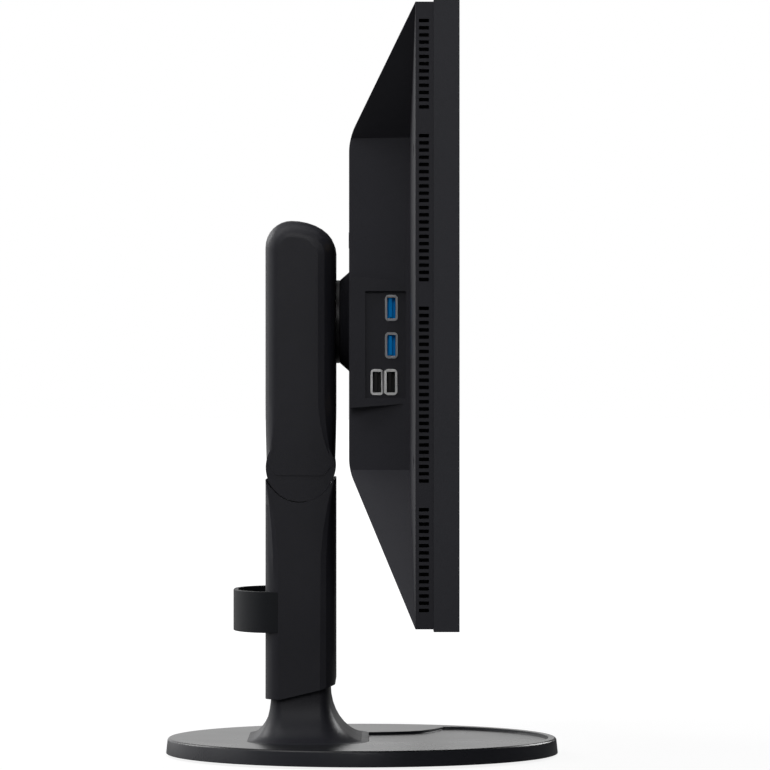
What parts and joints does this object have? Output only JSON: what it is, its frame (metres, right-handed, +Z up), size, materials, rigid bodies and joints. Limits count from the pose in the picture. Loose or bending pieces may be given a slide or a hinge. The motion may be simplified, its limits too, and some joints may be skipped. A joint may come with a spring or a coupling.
{
  "type": "computer monitor",
  "caption": "Flat computer monitor with a sloped rear housing on a round swivel base, with a jointed column stand that lifts, tilts and pivots.",
  "frame": {"origin": "centre of the round base's foot plane, on the desk", "axes": "+X to the viewer's right, screen faces -Y, +Z up"},
  "size_m": [0.5544, 0.2454, 0.4525],
  "materials": {
    "plastic_black": "matte",
    "plastic_blue": "satin",
    "plastic_white": "satin",
    "steel": "satin",
    "brass": "satin",
    "nylon": "matte",
    "rubber": "matte",
    "panel_glass": "satin",
    "optical_film": "satin",
    "acrylic": "polished",
    "board": "satin"
  },
  "bodies": {
    "turntable": {"turntable_plate": "steel", "rubber_feet": "rubber", "swivel_pin": "steel"},
    "base": {"base_cover": "plastic_black", "base_weight": "steel", "glide_ring": "nylon", "neck_cover": "plastic_black", "neck_upright": "steel", "neck_screws": "steel"},
    "column": {"column_front_cover": "plastic_black", "column_rear_cover": "plastic_black", "column_mast": "steel", "knee_yoke": "steel", "column_glides": "nylon", "lift_springs": "steel", "cable_holder": "plastic_black", "knee_shaft": "steel", "knee_washers": "brass", "knee_nuts": "steel"},
    "arm": {"arm_front_cover": "plastic_black", "arm_rear_cover": "plastic_black", "arm_frame": "steel", "carriage_rails": "steel", "spring_drum": "steel", "drum_axle": "steel"},
    "carriage": {"carriage_block": "nylon", "pivot_plate": "plastic_black", "pivot_pin": "steel", "pivot_washer": "brass", "pivot_nut": "steel"},
    "rocker": {"power_rocker": "plastic_black"},
    "catch": {"release_catch": "plastic_black"},
    "head": {"front_bezel": "plastic_black", "lcd_panel": "panel_glass", "optical_sheets": "optical_film", "light_guide": "acrylic", "led_bars": "board", "panel_tray": "steel", "rear_cover": "plastic_black", "mount_bracket": "steel", "mount_inserts": "brass", "pivot_boss": "plastic_black", "boss_screws": "steel", "main_board": "board", "power_board": "board", "board_shield": "steel", "usb_board": "board", "usb3_shells": "steel", "usb3_tongues": "plastic_blue", "usb2_shells": "steel", "usb2_tongues": "plastic_black", "dvi_socket": "plastic_white", "displayport_socket": "steel", "hdmi_socket": "steel", "usb_uplink_socket": "steel", "power_inlet": "plastic_black", "key_board": "board", "power_lens": "acrylic", "cover_screws": "steel"}
  },
  "joints": [
    {"name": "swivel", "type": "hinge", "parent": "turntable", "child": "base", "pos_m": [0, 0, 0.0035], "axis": [0, 0, 1], "range_deg": [-172, 172]},
    {"name": "column_lift", "type": "slide", "parent": "base", "child": "column", "axis": [0, 0, 1], "range_m": [0, 0.08], "deforming": ["lift_springs"]},
    {"name": "tilt", "type": "hinge", "parent": "column", "child": "arm", "pos_m": [0, 0.038, 0.1812], "axis": [-1, 0, 0], "range_deg": [-5, 35]},
    {"name": "carriage_slide", "type": "slide", "parent": "arm", "child": "carriage", "axis": [0, 0, 1], "range_m": [-0.055, 0.02]},
    {"name": "pivot", "type": "hinge", "parent": "carriage", "child": "head", "pos_m": [0, 0.007, 0.2717], "axis": [0, 1, 0], "range_deg": [0, 20]},
    {"name": "release", "type": "slide", "parent": "head", "child": "catch", "axis": [0, 0, -1], "range_m": [0, 0.004], "stiffness_N_per_m": 400, "springref_m": -0.001},
    {"name": "power_switch", "type": "hinge", "parent": "head", "child": "rocker", "pos_m": [-0.104, -0.013, 0.1703], "axis": [1, 0, 0], "range_deg": [0, 12]}
  ]
}
